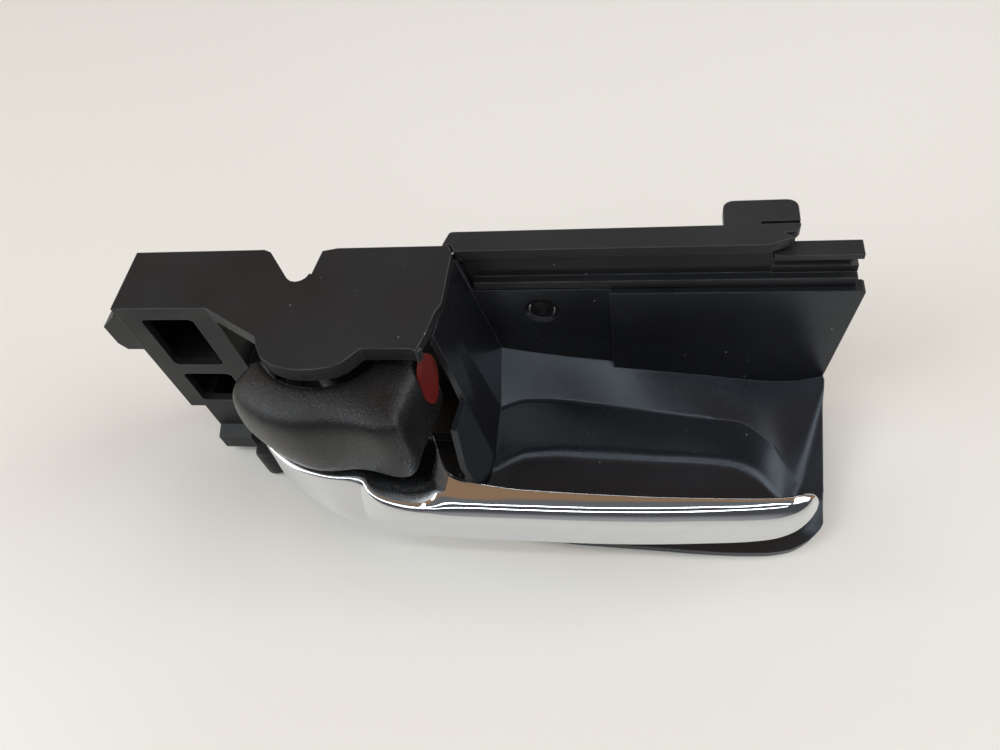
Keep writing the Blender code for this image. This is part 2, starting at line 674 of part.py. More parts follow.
def make_lever_grip(shop, surface):
    body = subdivide(shop.loft("grip_skin", lever_sections(), capped=True), 1)
    web_outline = [
        (-5.0, -24.5),
        (-7.2, -20.6),
        (-8.8, -16.0),
        (-10.6, -11.0),
        (-19.0, -3.0),
        *arc(11.0, 0, 200, 12),
        (-53.5, -11.0),
        (-57.0, -15.0),
        (-50.0, -20.0),
        (-38.0, -26.0),
        (-24.0, -27.0),
        (-8.0, -27.0),
    ]
    grip = bevel(shop.prism("lever_grip", web_outline, 30.6, LEVER_TOP - 0.3), 0.5)
    bore = shop.cylinder("grip_bore", (PIN_X, PIN_Y), BUSH_RADIUS + GAP, 20.0, 40.0)
    screw_hole = shop.cylinder("grip_screw_hole", (-36.3, -9.0), 1.5 + GAP, 25.0, 34.0)
    shop.unite(grip, body)
    shop.cut(grip, bore, screw_hole)
    shop.finished(grip, surface, shop.lever_axis)


def make_lever_carrier(shop, surface):
    """The black hub under the grip, with the crank that pulls the latch cable."""
    carrier = shop.cylinder("lever_carrier", (PIN_X, PIN_Y), HUB_RADIUS, 19.3, 30.2)
    arm_outline = [
        (PIN_X - 8.0, PIN_Y),
        *arc(20.0, 248, 292, 6),
        (PIN_X + 8.0, PIN_Y),
    ]
    arm = shop.prism("carrier_arm", arm_outline, 22.0, 30.2)
    crank_y = PIN_Y + CRANK_LENGTH
    crank_outline = [(PIN_X - 6.0, PIN_Y), (PIN_X + 6.0, PIN_Y)]
    crank_outline += arc(3.6, 0, 180, 8, (PIN_X, crank_y))
    crank = shop.prism("lever_crank", crank_outline, 21.6, 25.0)
    bore = shop.cylinder("carrier_bore", (PIN_X, PIN_Y), BUSH_RADIUS + GAP, 10.0, 40.0)
    screw_hole = shop.cylinder("carrier_screw_hole", (-36.3, -9.0), 1.5 + GAP, 15.0, 40.0)
    clip_hole = shop.cylinder("crank_hole", (PIN_X, crank_y), 1.9, 15.0, 30.0)
    shop.unite(carrier, arm, crank)
    shop.cut(carrier, bore, screw_hole, clip_hole)
    shop.finished(carrier, surface, shop.lever_axis)


def make_bush(shop, name, low, high, surface, carrier):
    bush = shop.cylinder(name, (PIN_X, PIN_Y), BUSH_RADIUS, low, high)
    bore = shop.cylinder(name + "_bore", (PIN_X, PIN_Y), PIN_RADIUS + RUNNING, low - 1, high + 1)
    shop.cut(bush, bore)
    shop.finished(bush, surface, carrier)


def make_cable_clip(shop, name, place, low, surface, carrier):
    """The end fitting that a crank holds: a stem through the crank under a flat head."""
    head = shop.cylinder(name, place, 2.9, low + 3.7, low + 5.7)
    stem = shop.cylinder(name + "_stem", place, 1.6, low - 1.4, low + 4.2)
    groove = shop.box(
        name + "_groove",
        (place[0] - 4.0, place[1] - 0.7, low + 4.6),
        (place[0] + 4.0, place[1] + 0.7, low + 7.0),
    )
    shop.unite(head, stem)
    shop.cut(head, groove)
    shop.finished(head, surface, carrier)


def make_screw(shop, name, place, low, high, axis, shank, head, surface, carrier=None):
    """A shank from low to high, with its head beyond low."""
    screw = shop.cylinder(name, place, shank, low - 0.4, high, axis)
    cap = shop.cylinder(name + "_head", place, head, low - 2.0, low, axis)
    drive = shop.cylinder(name + "_drive", place, 0.4 * head, low - 3.0, low - 1.0, axis, segments=6)
    shop.unite(screw, bevel(cap, 0.3))
    shop.cut(screw, drive)
    shop.finished(screw, surface, carrier)


def make_frame_screw(shop, name, place, surface):
    """Holds the bowl's back wall to the frame's tongue, driven from behind."""
    screw = shop.cylinder(name, place, 1.25, 24.3, 28.8, axis="Y")
    cap = bevel(shop.cylinder(name + "_head", place, 2.8, 28.6, 30.2, axis="Y"), 0.3)
    drive = shop.cylinder(name + "_drive", place, 1.2, 29.3, 31.0, axis="Y", segments=6)
    shop.unite(screw, cap)
    shop.cut(screw, drive)
    shop.finished(screw, surface)


# Lock knob

# Angle about the pin, then the outer radius at the foot, at half height and at the crest.
KNOB_STATIONS = (
    (216.0, 27.0, 28.2, 26.4),
    (217.5, 29.2, 30.4, 28.4),
    (221.0, 30.0, 31.6, 29.6),
    (229.0, 29.6, 31.6, 29.8),
    (240.0, 29.6, 31.0, 29.6),
    (252.0, 29.9, 30.8, 29.4),
    (265.0, 30.2, 30.8, 29.4),
    (278.0, 30.1, 31.0, 29.8),
    (287.0, 30.8, 32.2, 31.2),
    (295.0, 33.4, 34.2, 33.2),
    (301.0, 36.4, 36.6, 35.2),
    (306.0, 37.9, 38.0, 36.6),
    (309.6, 37.0, 37.4, 36.6),
    (313.5, 34.6, 34.9, 34.4),
    (320.0, 32.2, 32.3, 32.0),
    (330.0, 30.1, 30.1, 29.9),
    (340.0, 28.6, 28.6, 28.4),
    (347.0, 27.9, 27.9, 27.7),
)
KNOB_MIDDLE_Z, KNOB_CREST_Z, KNOB_TOP_Z = 47.0, 58.4, 61.6


def knob_section(station):
    degrees, foot, middle, crest = station
    inner = KNOB_INNER_RADIUS
    outline = (
        (foot - 1.6, KNOB_BOTTOM),
        (foot, KNOB_BOTTOM + 1.6),
        (middle, KNOB_MIDDLE_Z),
        (crest + 0.9, KNOB_CREST_Z - 3.0),
        (crest - 0.9, KNOB_CREST_Z + 0.5),
        (0.5 * (inner + crest), 0.5 * (KNOB_CREST_Z + KNOB_TOP_Z) + 0.4),
        (inner + 1.2, KNOB_TOP_Z + 0.1),
        (inner, KNOB_TOP_Z - 1.2),
        (inner, KNOB_MIDDLE_Z),
        (inner, KNOB_BOTTOM + 1.0),
        (inner + 1.0, KNOB_BOTTOM),
    )
    return [(*polar(radius, degrees), z) for radius, z in outline]


def flag_outline(scale=1.0):
    """A lens in the knob's end face, as distances along the face and heights."""
    centre = (18.0, 53.2)
    lens = arc(12.0, -47, 47, 8, (-7.3, 0.0)) + arc(12.0, 133, 227, 8, (7.3, 0.0))
    return [(centre[0] + x * scale + 0.08 * z, centre[1] + z * scale) for x, z in lens]


def on_end_face():
    """The matrix that lays an outline drawn along X and up Z onto the knob's end face, +Y inwards."""
    along = Vector((3.9, 19.7, 0.0)).normalized()
    inwards = Vector((-along.y, along.x, 0.0))
    turn = Matrix((along, inwards, Vector((0, 0, 1)))).transposed().to_4x4()
    return Matrix.Translation(Vector((-12.9, -22.7, 0.0)) * MM) @ turn


def make_lock_knob(shop, surface):
    sections = [knob_section(station) for station in KNOB_STATIONS]
    knob = subdivide(shop.loft("lock_knob", sections, capped=True), 1)
    spoke_outline = [*arc(HUB_RADIUS + GAP, 330, 235, 8), *arc(21.5, 235, 330, 12)]
    spoke = shop.prism("knob_spoke", spoke_outline, 41.0, 56.0)
    pocket = shop.prism("flag_pocket", flag_outline(1.08), -3.0, 1.1, axis="Y")
    pocket.data.transform(on_end_face())
    shop.unite(knob, spoke)
    shop.cut(knob, pocket)
    shop.finished(knob, surface, shop.knob_axis)


def make_red_flag(shop, surface):
    flag = shop.prism("red_flag", flag_outline(), -0.5, 0.8, axis="Y")
    flag.data.transform(on_end_face())
    shop.finished(flag, surface, shop.knob_axis)


def make_lock_hub(shop, surface):
    """The hub that the knob is pressed on, with the crank that works the lock rod."""
    hub = shop.cylinder("lock_hub", (PIN_X, PIN_Y), HUB_RADIUS, 36.4, 61.2)
    crank_y = PIN_Y + CRANK_LENGTH - 1.5
    crank_outline = [(PIN_X - 6.0, PIN_Y), (PIN_X + 6.0, PIN_Y)]
    crank_outline += arc(3.6, 0, 180, 8, (PIN_X, crank_y))
    crank = shop.prism("lock_crank", crank_outline, 45.6, 49.0)
    bore = shop.cylinder("hub_bore", (PIN_X, PIN_Y), BUSH_RADIUS + GAP, 30.0, 64.0)
    clip_hole = shop.cylinder("lock_crank_hole", (PIN_X, crank_y), 1.9, 45.0, 56.0)
    detent = shop.cylinder("detent_notch", (PIN_X - 9.6, PIN_Y + 3.2), 1.6, 55.0, 62.0)
    shop.unite(hub, crank)
    shop.cut(hub, bore, clip_hole, detent)
    shop.finished(hub, surface, shop.knob_axis)


# Pin, springs and small hardware


def make_pivot_pin(shop, surface):
    pin = shop.cylinder("pivot_pin", (PIN_X, PIN_Y), PIN_RADIUS, 5.0, TOP_Z - ROOF_THICK - GAP)
    groove_outer = shop.cylinder("clip_groove", (PIN_X, PIN_Y), 4.0, 6.0, 7.0)
    groove_core = shop.cylinder("clip_groove_core", (PIN_X, PIN_Y), 1.7, 5.5, 7.5)
    shop.cut(groove_outer, groove_core)
    shop.cut(pin, groove_outer)
    shop.finished(pin, surface)
    groove_core.parent = groove_outer.parent


def make_pin_clip(shop, surface):
    outline = [*arc(5.0, -150, 150, 20), *arc(2.0, 150, -150, 20)]
    clip = shop.prism("pin_clip", outline, 6.15, 6.85)
    shop.finished(clip, surface)


def make_return_spring(shop, surface):
    """Four turns round the lever's bush, with one leg on the post and one at the carrier."""
    turns, steps, radius = 4, 16, 6.2
    low, high = 12.9, 17.9
    coil = []
    for i in range(turns * steps + 1):
        height = low + (high - low) * i / (turns * steps)
        coil.append((*polar(radius, 270 - 360 * i / steps), height))
    leg_start = (PIN_X - 12.0, PIN_Y - radius, low)
    leg_end = (PIN_X + 12.5, PIN_Y - radius, high)
    spring = shop.wire("return_spring", [leg_start, *coil, leg_end], 0.55)
    shop.finished(spring, surface)


def make_detent_spring(shop, surface):
    """A bent wire behind the hub that drops into the hub's notch at each end of the travel."""
    x, y = PIN_X - 12.6, PIN_Y + 3.2
    points = [
        (-56.0, 20.0, 60.0),
        (-56.0, 12.0, 60.0),
        (x - 2.0, y + 1.4, 60.0),
        (x, y, 60.0),
        (x - 1.4, y - 2.4, 60.0),
        (x - 4.0, y - 5.0, 60.0),
    ]
    spring = shop.wire("detent_spring", points, 0.5)
    shop.finished(spring, surface)


def make_bumper(shop, name, low, high, surface):
    shop.finished(bevel(shop.box(name, low, high), 0.5), surface)


def make_screw_bush(shop, surface):
    bush = shop.cylinder("screw_bush", (HOLE_X, HOLE_Z), HOLE_RADIUS - GAP, 24.1, 28.6, axis="Y")
    bore = shop.cylinder("screw_bush_bore", (HOLE_X, HOLE_Z), 2.5, 20.0, 30.0, axis="Y")
    shop.cut(bush, bore)
    shop.finished(bush, surface)


def main():
    clear_scene()
    shop = Workshop()
    lever, knob = shop.lever_axis, shop.knob_axis
    matte = material("matte_frame", PLASTIC_GREY, 0.55)
    rail = material("rail_plastic", PLASTIC_BLACK, 0.45)
    gloss = material("bowl_plastic", GLOSS_BLACK, 0.18)
    grained = material("knob_plastic", PLASTIC_BLACK, 0.42)
    nylon = material("hub_nylon", (0.05, 0.05, 0.052, 1.0), 0.5)
    chrome = material("chrome", (0.86, 0.86, 0.87, 1.0), 0.05, 1.0)
    steel = material("pin_steel", (0.55, 0.55, 0.56, 1.0), 0.32, 1.0)
    zinc = material("screw_zinc", (0.62, 0.60, 0.52, 1.0), 0.38, 1.0)
    phosphate = material("black_steel", (0.03, 0.03, 0.032, 1.0), 0.5, 1.0)
    acetal = material("bush_acetal", (0.75, 0.73, 0.66, 1.0), 0.4)
    rubber = material("bumper_rubber", (0.02, 0.02, 0.02, 1.0), 0.8)
    red = material("flag_red", (0.17, 0.012, 0.010, 1.0), 0.3)

    make_base_frame(shop, matte)
    make_trim_rail(shop, rail)
    make_finger_bowl(shop, gloss)
    make_pivot_pin(shop, steel)
    make_pin_clip(shop, steel)
    make_return_spring(shop, steel)
    make_detent_spring(shop, steel)
    make_screw_bush(shop, phosphate)
    make_bumper(shop, "lever_bumper", (-42.7, 19.4, 20.0), (-41.2, 24.2, 26.6), rubber)
    make_bumper(shop, "knob_bumper", (-45.7, 21.0, 43.0), (-43.3, 25.0, 51.4), rubber)
    for label, z in zip(("lower", "upper"), TONGUE_SCREW_Z):
        make_frame_screw(shop, f"frame_screw_{label}", (TONGUE_SCREW_X, z), zinc)
    make_bumper(shop, "rear_pad", (44.0, 25.9, 34.0), (64.0, 28.0, 46.0), rubber)

    make_lever_grip(shop, chrome)
    make_lever_carrier(shop, nylon)
    make_bush(shop, "lever_bush", 12.3, LEVER_TOP + 0.2, acetal, lever)
    make_cable_clip(shop, "lever_cable_clip", (PIN_X, PIN_Y + CRANK_LENGTH), 21.6, acetal, lever)
    make_screw(shop, "carrier_screw", (-36.3, -9.0), 21.7, 32.5, "Z", 1.5, 3.0, zinc, lever)

    make_lock_knob(shop, grained)
    make_red_flag(shop, red)
    make_lock_hub(shop, nylon)
    make_bush(shop, "knob_bush", LEVER_TOP + 0.6, 61.5, acetal, knob)
    place = (PIN_X, PIN_Y + CRANK_LENGTH - 1.5)
    make_cable_clip(shop, "lock_rod_clip", place, 45.6, acetal, knob)


main()
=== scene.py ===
import json
import math

import bmesh
import bpy
from mathutils import Matrix, Vector


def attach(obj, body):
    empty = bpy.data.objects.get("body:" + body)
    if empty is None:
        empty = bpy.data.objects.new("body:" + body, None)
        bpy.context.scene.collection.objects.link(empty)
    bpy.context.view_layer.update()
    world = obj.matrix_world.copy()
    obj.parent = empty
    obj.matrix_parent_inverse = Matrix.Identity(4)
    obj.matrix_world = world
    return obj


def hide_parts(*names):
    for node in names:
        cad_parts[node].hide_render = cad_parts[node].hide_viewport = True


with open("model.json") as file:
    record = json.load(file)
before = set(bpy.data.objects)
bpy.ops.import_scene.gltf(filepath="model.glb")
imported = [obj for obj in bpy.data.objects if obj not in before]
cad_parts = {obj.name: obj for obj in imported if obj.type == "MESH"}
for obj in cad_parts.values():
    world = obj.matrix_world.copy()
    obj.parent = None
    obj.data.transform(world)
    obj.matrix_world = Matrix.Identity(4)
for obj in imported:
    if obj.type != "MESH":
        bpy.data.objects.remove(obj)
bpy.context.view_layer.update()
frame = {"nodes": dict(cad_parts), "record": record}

SCENE = bpy.context.scene
MM = 0.001
# Shapes are drawn in mm. A drawn point less this is the same point in the frame.
DATUM = Vector((-1.95, 2.36, 0.0))
# The upright pin's axis in the drawing.
PIN = (-36.3, 6.0)

# Radii that catch the light on the edges of each kind of material, in metres.
PLASTIC_EDGE, METAL_EDGE, SOFT_EDGE = 0.0004, 0.00015, 0.0002
# Faces that meet at more than this many degrees keep a sharp edge.
SHARP_ANGLE = 26
WELD_REACH = 0.000002
DUST = (0.30, 0.30, 0.29)
CHROME = (0.66, 0.675, 0.69)
GRAIN_CELLS = 2500.0


def world_point(point):
    return (Vector(point) - DATUM) * MM


# Materials


class Paint:
    """A Principled material and short ways to add what varies over it. Lengths are metres."""

    def __init__(self, name, color, roughness, metallic=0.0, specular=0.5):
        self.material = bpy.data.materials.new(name)
        self.material.use_nodes = True
        self.nodes = self.material.node_tree.nodes
        self.links = self.material.node_tree.links
        self.shader = self.nodes["Principled BSDF"]
        self.color = (*color, 1.0)
        self.shader.inputs["Base Color"].default_value = self.color
        self.shader.inputs["Roughness"].default_value = roughness
        self.shader.inputs["Metallic"].default_value = metallic
        self.shader.inputs["Specular IOR Level"].default_value = specular
        self.place = self.nodes.new("ShaderNodeTexCoord").outputs["Object"]
        self.material.diffuse_color = self.color

    def node(self, kind, **settings):
        made = self.nodes.new(kind)
        for key, value in settings.items():
            if key in made.inputs:
                made.inputs[key].default_value = value
            else:
                setattr(made, key, value)
        return made

    def link(self, source, target):
        self.links.new(source, target)

    def stretched(self, scale):
        made = self.node("ShaderNodeMapping")
        made.inputs["Scale"].default_value = scale
        self.link(self.place, made.inputs["Vector"])
        return made.outputs["Vector"]

    def noise(self, scale, detail=4.0, rough=0.55, place=None):
        made = self.node("ShaderNodeTexNoise", Scale=scale, Detail=detail, Roughness=rough)
        self.link(place or self.place, made.inputs["Vector"])
        return made.outputs["Fac"]

    def cells(self, scale, output="Distance"):
        made = self.node("ShaderNodeTexVoronoi", Scale=scale)
        self.link(self.place, made.inputs["Vector"])
        return made.outputs[output]

    def spread(self, source, low, high, to_low=0.0, to_high=1.0):
        """The source with its range low to high carried to to_low to to_high, and no further."""
        made = self.node("ShaderNodeMapRange")
        for index, value in enumerate((low, high, to_low, to_high), start=1):
            made.inputs[index].default_value = value
        self.link(source, made.inputs[0])
        return made.outputs[0]

    def math(self, operation, first, second):
        made = self.node("ShaderNodeMath", operation=operation)
        for socket, value in zip(made.inputs, (first, second)):
            if isinstance(value, float):
                socket.default_value = value
            else:
                self.link(value, socket)
        return made.outputs[0]

    def mix(self, factor, first, second):
        made = self.node("ShaderNodeMix", data_type="RGBA")
        self.link(factor, made.inputs["Factor"])
        for socket, value in ((made.inputs[6], first), (made.inputs[7], second)):
            if isinstance(value, tuple):
                socket.default_value = (*value[:3], 1.0)
            else:
                self.link(value, socket)
        return made.outputs[2]

    def rounded(self, radius):
        return self.node("ShaderNodeBevel", samples=4, Radius=radius).outputs["Normal"]

    def edges(self, radius):
        """1 on sharp edges and 0 on flat faces."""
        made = self.node("ShaderNodeVectorMath", operation="DOT_PRODUCT")
        normal = self.node("ShaderNodeNewGeometry").outputs["Normal"]
        self.link(self.rounded(radius), made.inputs[0])
        self.link(normal, made.inputs[1])
        return self.spread(made.outputs["Value"], 0.995, 0.80)

    def bump(self, height, distance, strength=1.0, normal=None):
        made = self.node("ShaderNodeBump", Strength=strength, Distance=distance)
        self.link(height, made.inputs["Height"])
        if normal:
            self.link(normal, made.inputs["Normal"])
        return made.outputs["Normal"]

    def finish(self, color=None, roughness=None, normal=None):
        for name, source in (("Base Color", color), ("Roughness", roughness), ("Normal", normal)):
            if source:
                self.link(source, self.shader.inputs[name])
        return self.material


def moulded(name, color, edge_wear_and_highlight, roughness, grain, grain_scale, specular=0.5, tint=(1.0, 1.0, 1.0)):
    """Moulded black plastic: grain, cloudy gloss, edges lightened in colour (partly rubbed wear, partly
    a painted highlight), fine scratches and specks of dust.
    """
    paint = Paint(name, color, roughness[0], specular=specular)
    paint.shader.inputs["Specular Tint"].default_value = (*tint, 1.0)
    clouds = paint.noise(28.0, 5.0)
    tone = paint.mix(paint.spread(clouds, 0.35, 0.7), color, tuple(1.6 * c for c in color))
    patches = paint.spread(paint.noise(160.0), 0.3, 0.6, 0.15)
    # Edges are lightened in patches: partly rubbed wear, partly a painted highlight standing in for the
    # lamps' lines of light on the rounded edges.
    rubbed_and_highlight = paint.math("MULTIPLY", paint.edges(PLASTIC_EDGE), patches)
    tone = paint.mix(rubbed_and_highlight, tone, edge_wear_and_highlight)
    speck = paint.spread(paint.cells(170.0), 0.045, 0.025)
    rare = paint.spread(paint.noise(31.0, 1.0), 0.48, 0.50)
    tone = paint.mix(paint.math("MULTIPLY", speck, rare), tone, DUST)
    gloss = paint.spread(paint.noise(45.0, 6.0), 0.3, 0.7, *roughness)
    fine = paint.noise(grain_scale, 3.0)
    scratches = paint.noise(55.0, 3.0, 0.7, paint.stretched((0.12, 1.0, 14.0)))
    normal = paint.bump(fine, grain, normal=paint.rounded(PLASTIC_EDGE))
    normal = paint.bump(paint.spread(scratches, 0.66, 0.74), 0.00001, 0.5, normal)
    return paint.finish(tone, gloss, normal)


def leathered(name):
    """Black plastic with a pressed fine grain that catches the light in small points."""
    color = (0.0070, 0.0070, 0.0075)
    paint = Paint(name, color, 0.35, specular=0.34)
    pebbles = paint.cells(GRAIN_CELLS)
    height = paint.math("SUBTRACT", paint.noise(4000.0, 2.0), pebbles)
    tone = paint.mix(paint.spread(paint.noise(38.0, 5.0), 0.35, 0.7), color, (0.011, 0.011, 0.0115))
    speck = paint.spread(paint.cells(150.0), 0.05, 0.03)
    rare = paint.spread(paint.noise(27.0, 1.0), 0.60, 0.62)
    tone = paint.mix(paint.math("MULTIPLY", speck, rare), tone, DUST)
    gloss = paint.spread(paint.noise(70.0, 6.0), 0.3, 0.7, 0.26, 0.36)
    # A few pebbles are smoother than the rest.
    glints = paint.spread(paint.cells(GRAIN_CELLS, "Color"), 0.77, 0.81, 0.0, 0.11)
    gloss = paint.math("SUBTRACT", gloss, glints)
    waves = paint.bump(paint.noise(60.0, 2.0), 0.0004, 0.5)
    return paint.finish(tone, gloss, paint.bump(height, 0.00007, 1.0, waves))


def plated(name):
    """Bright chrome plate, a little wavy, with faint smears and pits."""
    paint = Paint(name, CHROME, 0.04, metallic=1.0)
    smears = paint.noise(40.0, 6.0, 0.7, paint.stretched((0.5, 1.0, 3.0)))
    gloss = paint.spread(smears, 0.45, 0.8, 0.025, 0.11)
    tone = paint.mix(paint.spread(smears, 0.5, 0.8), CHROME, (0.60, 0.61, 0.62))
    waves = paint.bump(paint.noise(95.0, 2.0), 0.00003, 1.0)
    pits = paint.spread(paint.cells(210.0), 0.03, 0.015)
    return paint.finish(tone, gloss, paint.bump(pits, 0.00002, 0.4, waves))


def metal(name, color, roughness, scale):
    """Drawn or turned metal with fine lines and a mottled tone."""
    paint = Paint(name, color, roughness, metallic=1.0)
    tone = paint.mix(paint.spread(paint.noise(240.0), 0.3, 0.7), color, tuple(0.7 * c for c in color))
    lines = paint.noise(500.0, 3.0, 0.6, paint.stretched(scale))
    gloss = paint.spread(lines, 0.3, 0.7, roughness - 0.08, roughness + 0.1)
    return paint.finish(tone, gloss, paint.bump(lines, 0.000015, 0.6, paint.rounded(METAL_EDGE)))


def soft_solid(name, color, roughness, scale, depth):
    """Rubber or acetal: an even tone with a fine matte grain."""
    paint = Paint(name, color, roughness)
    tone = paint.mix(paint.spread(paint.noise(90.0), 0.3, 0.7), color, tuple(0.8 * c for c in color))
    gloss = paint.spread(paint.noise(150.0), 0.3, 0.7, roughness - 0.06, roughness + 0.08)
    normal = paint.bump(paint.noise(scale), depth, 0.7, paint.rounded(SOFT_EDGE))
    return paint.finish(tone, gloss, normal)


PAINTS = {
    # In each moulded plastic the edge colour is partly rubbed wear and partly a painted highlight.
    "frame_plastic": moulded(
        "frame_plastic",
        color=(0.0105, 0.0105, 0.011),
        edge_wear_and_highlight=(0.16, 0.16, 0.155),
        roughness=(0.36, 0.60),
        grain=0.00003,
        grain_scale=2300.0,
        specular=0.36,
        tint=(0.92, 0.97, 1.0),
    ),
    "rail_plastic": moulded(
        "rail_plastic",
        color=(0.012, 0.012, 0.0128),
        edge_wear_and_highlight=(0.13, 0.13, 0.13),
        roughness=(0.34, 0.46),
        grain=0.00002,
        grain_scale=2000.0,
        specular=0.42,
        tint=(0.92, 0.97, 1.0),
    ),
    "bowl_plastic": moulded(
        "bowl_plastic",
        color=(0.0085, 0.0088, 0.0112),
        edge_wear_and_highlight=(0.07, 0.07, 0.075),
        roughness=(0.20, 0.30),
        grain=0.000012,
        grain_scale=1700.0,
        tint=(0.80, 0.90, 1.0),
    ),
    "hub_plastic": moulded(
        "hub_plastic",
        color=(0.024, 0.024, 0.025),
        edge_wear_and_highlight=(0.06, 0.06, 0.06),
        roughness=(0.45, 0.6),
        grain=0.00002,
        grain_scale=1800.0,
    ),
    "knob_plastic": leathered("knob_plastic"),
    "chrome": plated("chrome"),
    "steel": metal("steel", (0.55, 0.55, 0.56), 0.3, (1.0, 1.0, 8.0)),
    "zinc": metal("zinc", (0.60, 0.58, 0.50), 0.36, (4.0, 4.0, 1.0)),
    "black_steel": metal("black_steel", (0.035, 0.035, 0.037), 0.5, (4.0, 1.0, 4.0)),
    "bush_plastic": soft_solid("bush_plastic", (0.72, 0.70, 0.63), 0.42, 1500.0, 0.00002),
    "rubber": soft_solid("rubber", (0.018, 0.018, 0.018), 0.75, 1900.0, 0.00005),
    "flag_red": soft_solid("flag_red", (0.15, 0.010, 0.008), 0.30, 1400.0, 0.00001),
}
SLOT_OF = {part["node"]: part["material_slot"] for part in frame["record"]["subparts"]}


def dress_cad_nodes():
    """The CAD nodes keep their meshes and get smooth shading across shallow edges and a material."""
    for name, node in frame["nodes"].items():
        if node.data.attributes.get("custom_normal"):
            node.data.attributes.remove(node.data.attributes["custom_normal"])
        node.data.polygons.foreach_set("use_smooth", [True] * len(node.data.polygons))
        weld = node.modifiers.new("weld", "WELD")
        weld.merge_threshold = WELD_REACH
        split = node.modifiers.new("sharp_edges", "EDGE_SPLIT")
        split.split_angle = math.radians(SHARP_ANGLE)
        node.modifiers.new("face_normals", "WEIGHTED_NORMAL").keep_sharp = True
        node.data.materials.clear()
        node.data.materials.append(PAINTS[SLOT_OF[name]])


# Pieces

# Sections made for each one given, and levels of subdivision over them.
LEVER_STEPS, KNOB_STEPS, SMOOTH_LEVELS = 3, 2, 2


def blend_points(points, k, t):
    """The point at share t of the way from point k to the next, on a smooth curve."""
    def travel(i):
        before = points[i] - points[max(i - 1, 0)]
        after = points[min(i + 1, len(points) - 1)] - points[i]
        if not 0 < i < len(points) - 1:
            return after if i == 0 else before
        share = after.length / max(before.length + after.length, 1e-9)
        heading = before.normalized() * share + after.normalized() * (1.0 - share)
        return heading * min(before.length, after.length)

    first, second = points[k], points[k + 1]
    bulge = travel(k) * t * (1 - t) ** 2 - travel(k + 1) * (1 - t) * t**2
    return first * (1 + 2 * t) * (1 - t) ** 2 + second * t**2 * (3 - 2 * t) + bulge


def refined(sections, steps):
    """More sections between those given, on smooth curves through their points."""
    rows = [[Vector(section[i]) for section in sections] for i in range(len(sections[0]))]
    made = []
    for k in range(len(sections) - 1):
        for step in range(steps):
            made.append([blend_points(row, k, step / steps) for row in rows])
    made.append([row[-1] for row in rows])
    return made


def around_pin(radius, degrees, z):
    turn = math.radians(degrees)
    return (PIN[0] + radius * math.cos(turn), PIN[1] + radius * math.sin(turn), z)


def loft(name, sections, capped=True):
    """A smooth body through closed sections, with a cap at each end or closed on itself."""
    grid = bmesh.new()
    rows = [[grid.verts.new(world_point(point)) for point in section] for section in sections]
    count = len(sections[0])
    for row, following in zip(rows, rows[1:]):
        for i in range(count):
            j = (i + 1) % count
            grid.faces.new((row[i], row[j], following[j], following[i]))
    for row in (rows[0][::-1], rows[-1]) if capped else ():
        middle = grid.verts.new(sum((vert.co for vert in row), Vector()) / count)
        for i in range(count):
            grid.faces.new((row[i], row[(i + 1) % count], middle))
    if not capped:
        bmesh.ops.remove_doubles(grid, verts=grid.verts, dist=0.01 * MM)
    bmesh.ops.recalc_face_normals(grid, faces=grid.faces)
    for face in grid.faces:
        face.smooth = True
    mesh = bpy.data.meshes.new(name)
    grid.to_mesh(mesh)
    grid.free()
    made = bpy.data.objects.new(name, mesh)
    SCENE.collection.objects.link(made)
    return made


def smoothed(obj, levels):
    modifier = obj.modifiers.new("smooth", "SUBSURF")
    modifier.levels = levels
    modifier.render_levels = levels
    return obj


def stands_for(obj, node, body, slot):
    obj.data.materials.append(PAINTS[slot])
    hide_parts(node)
    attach(obj, body)


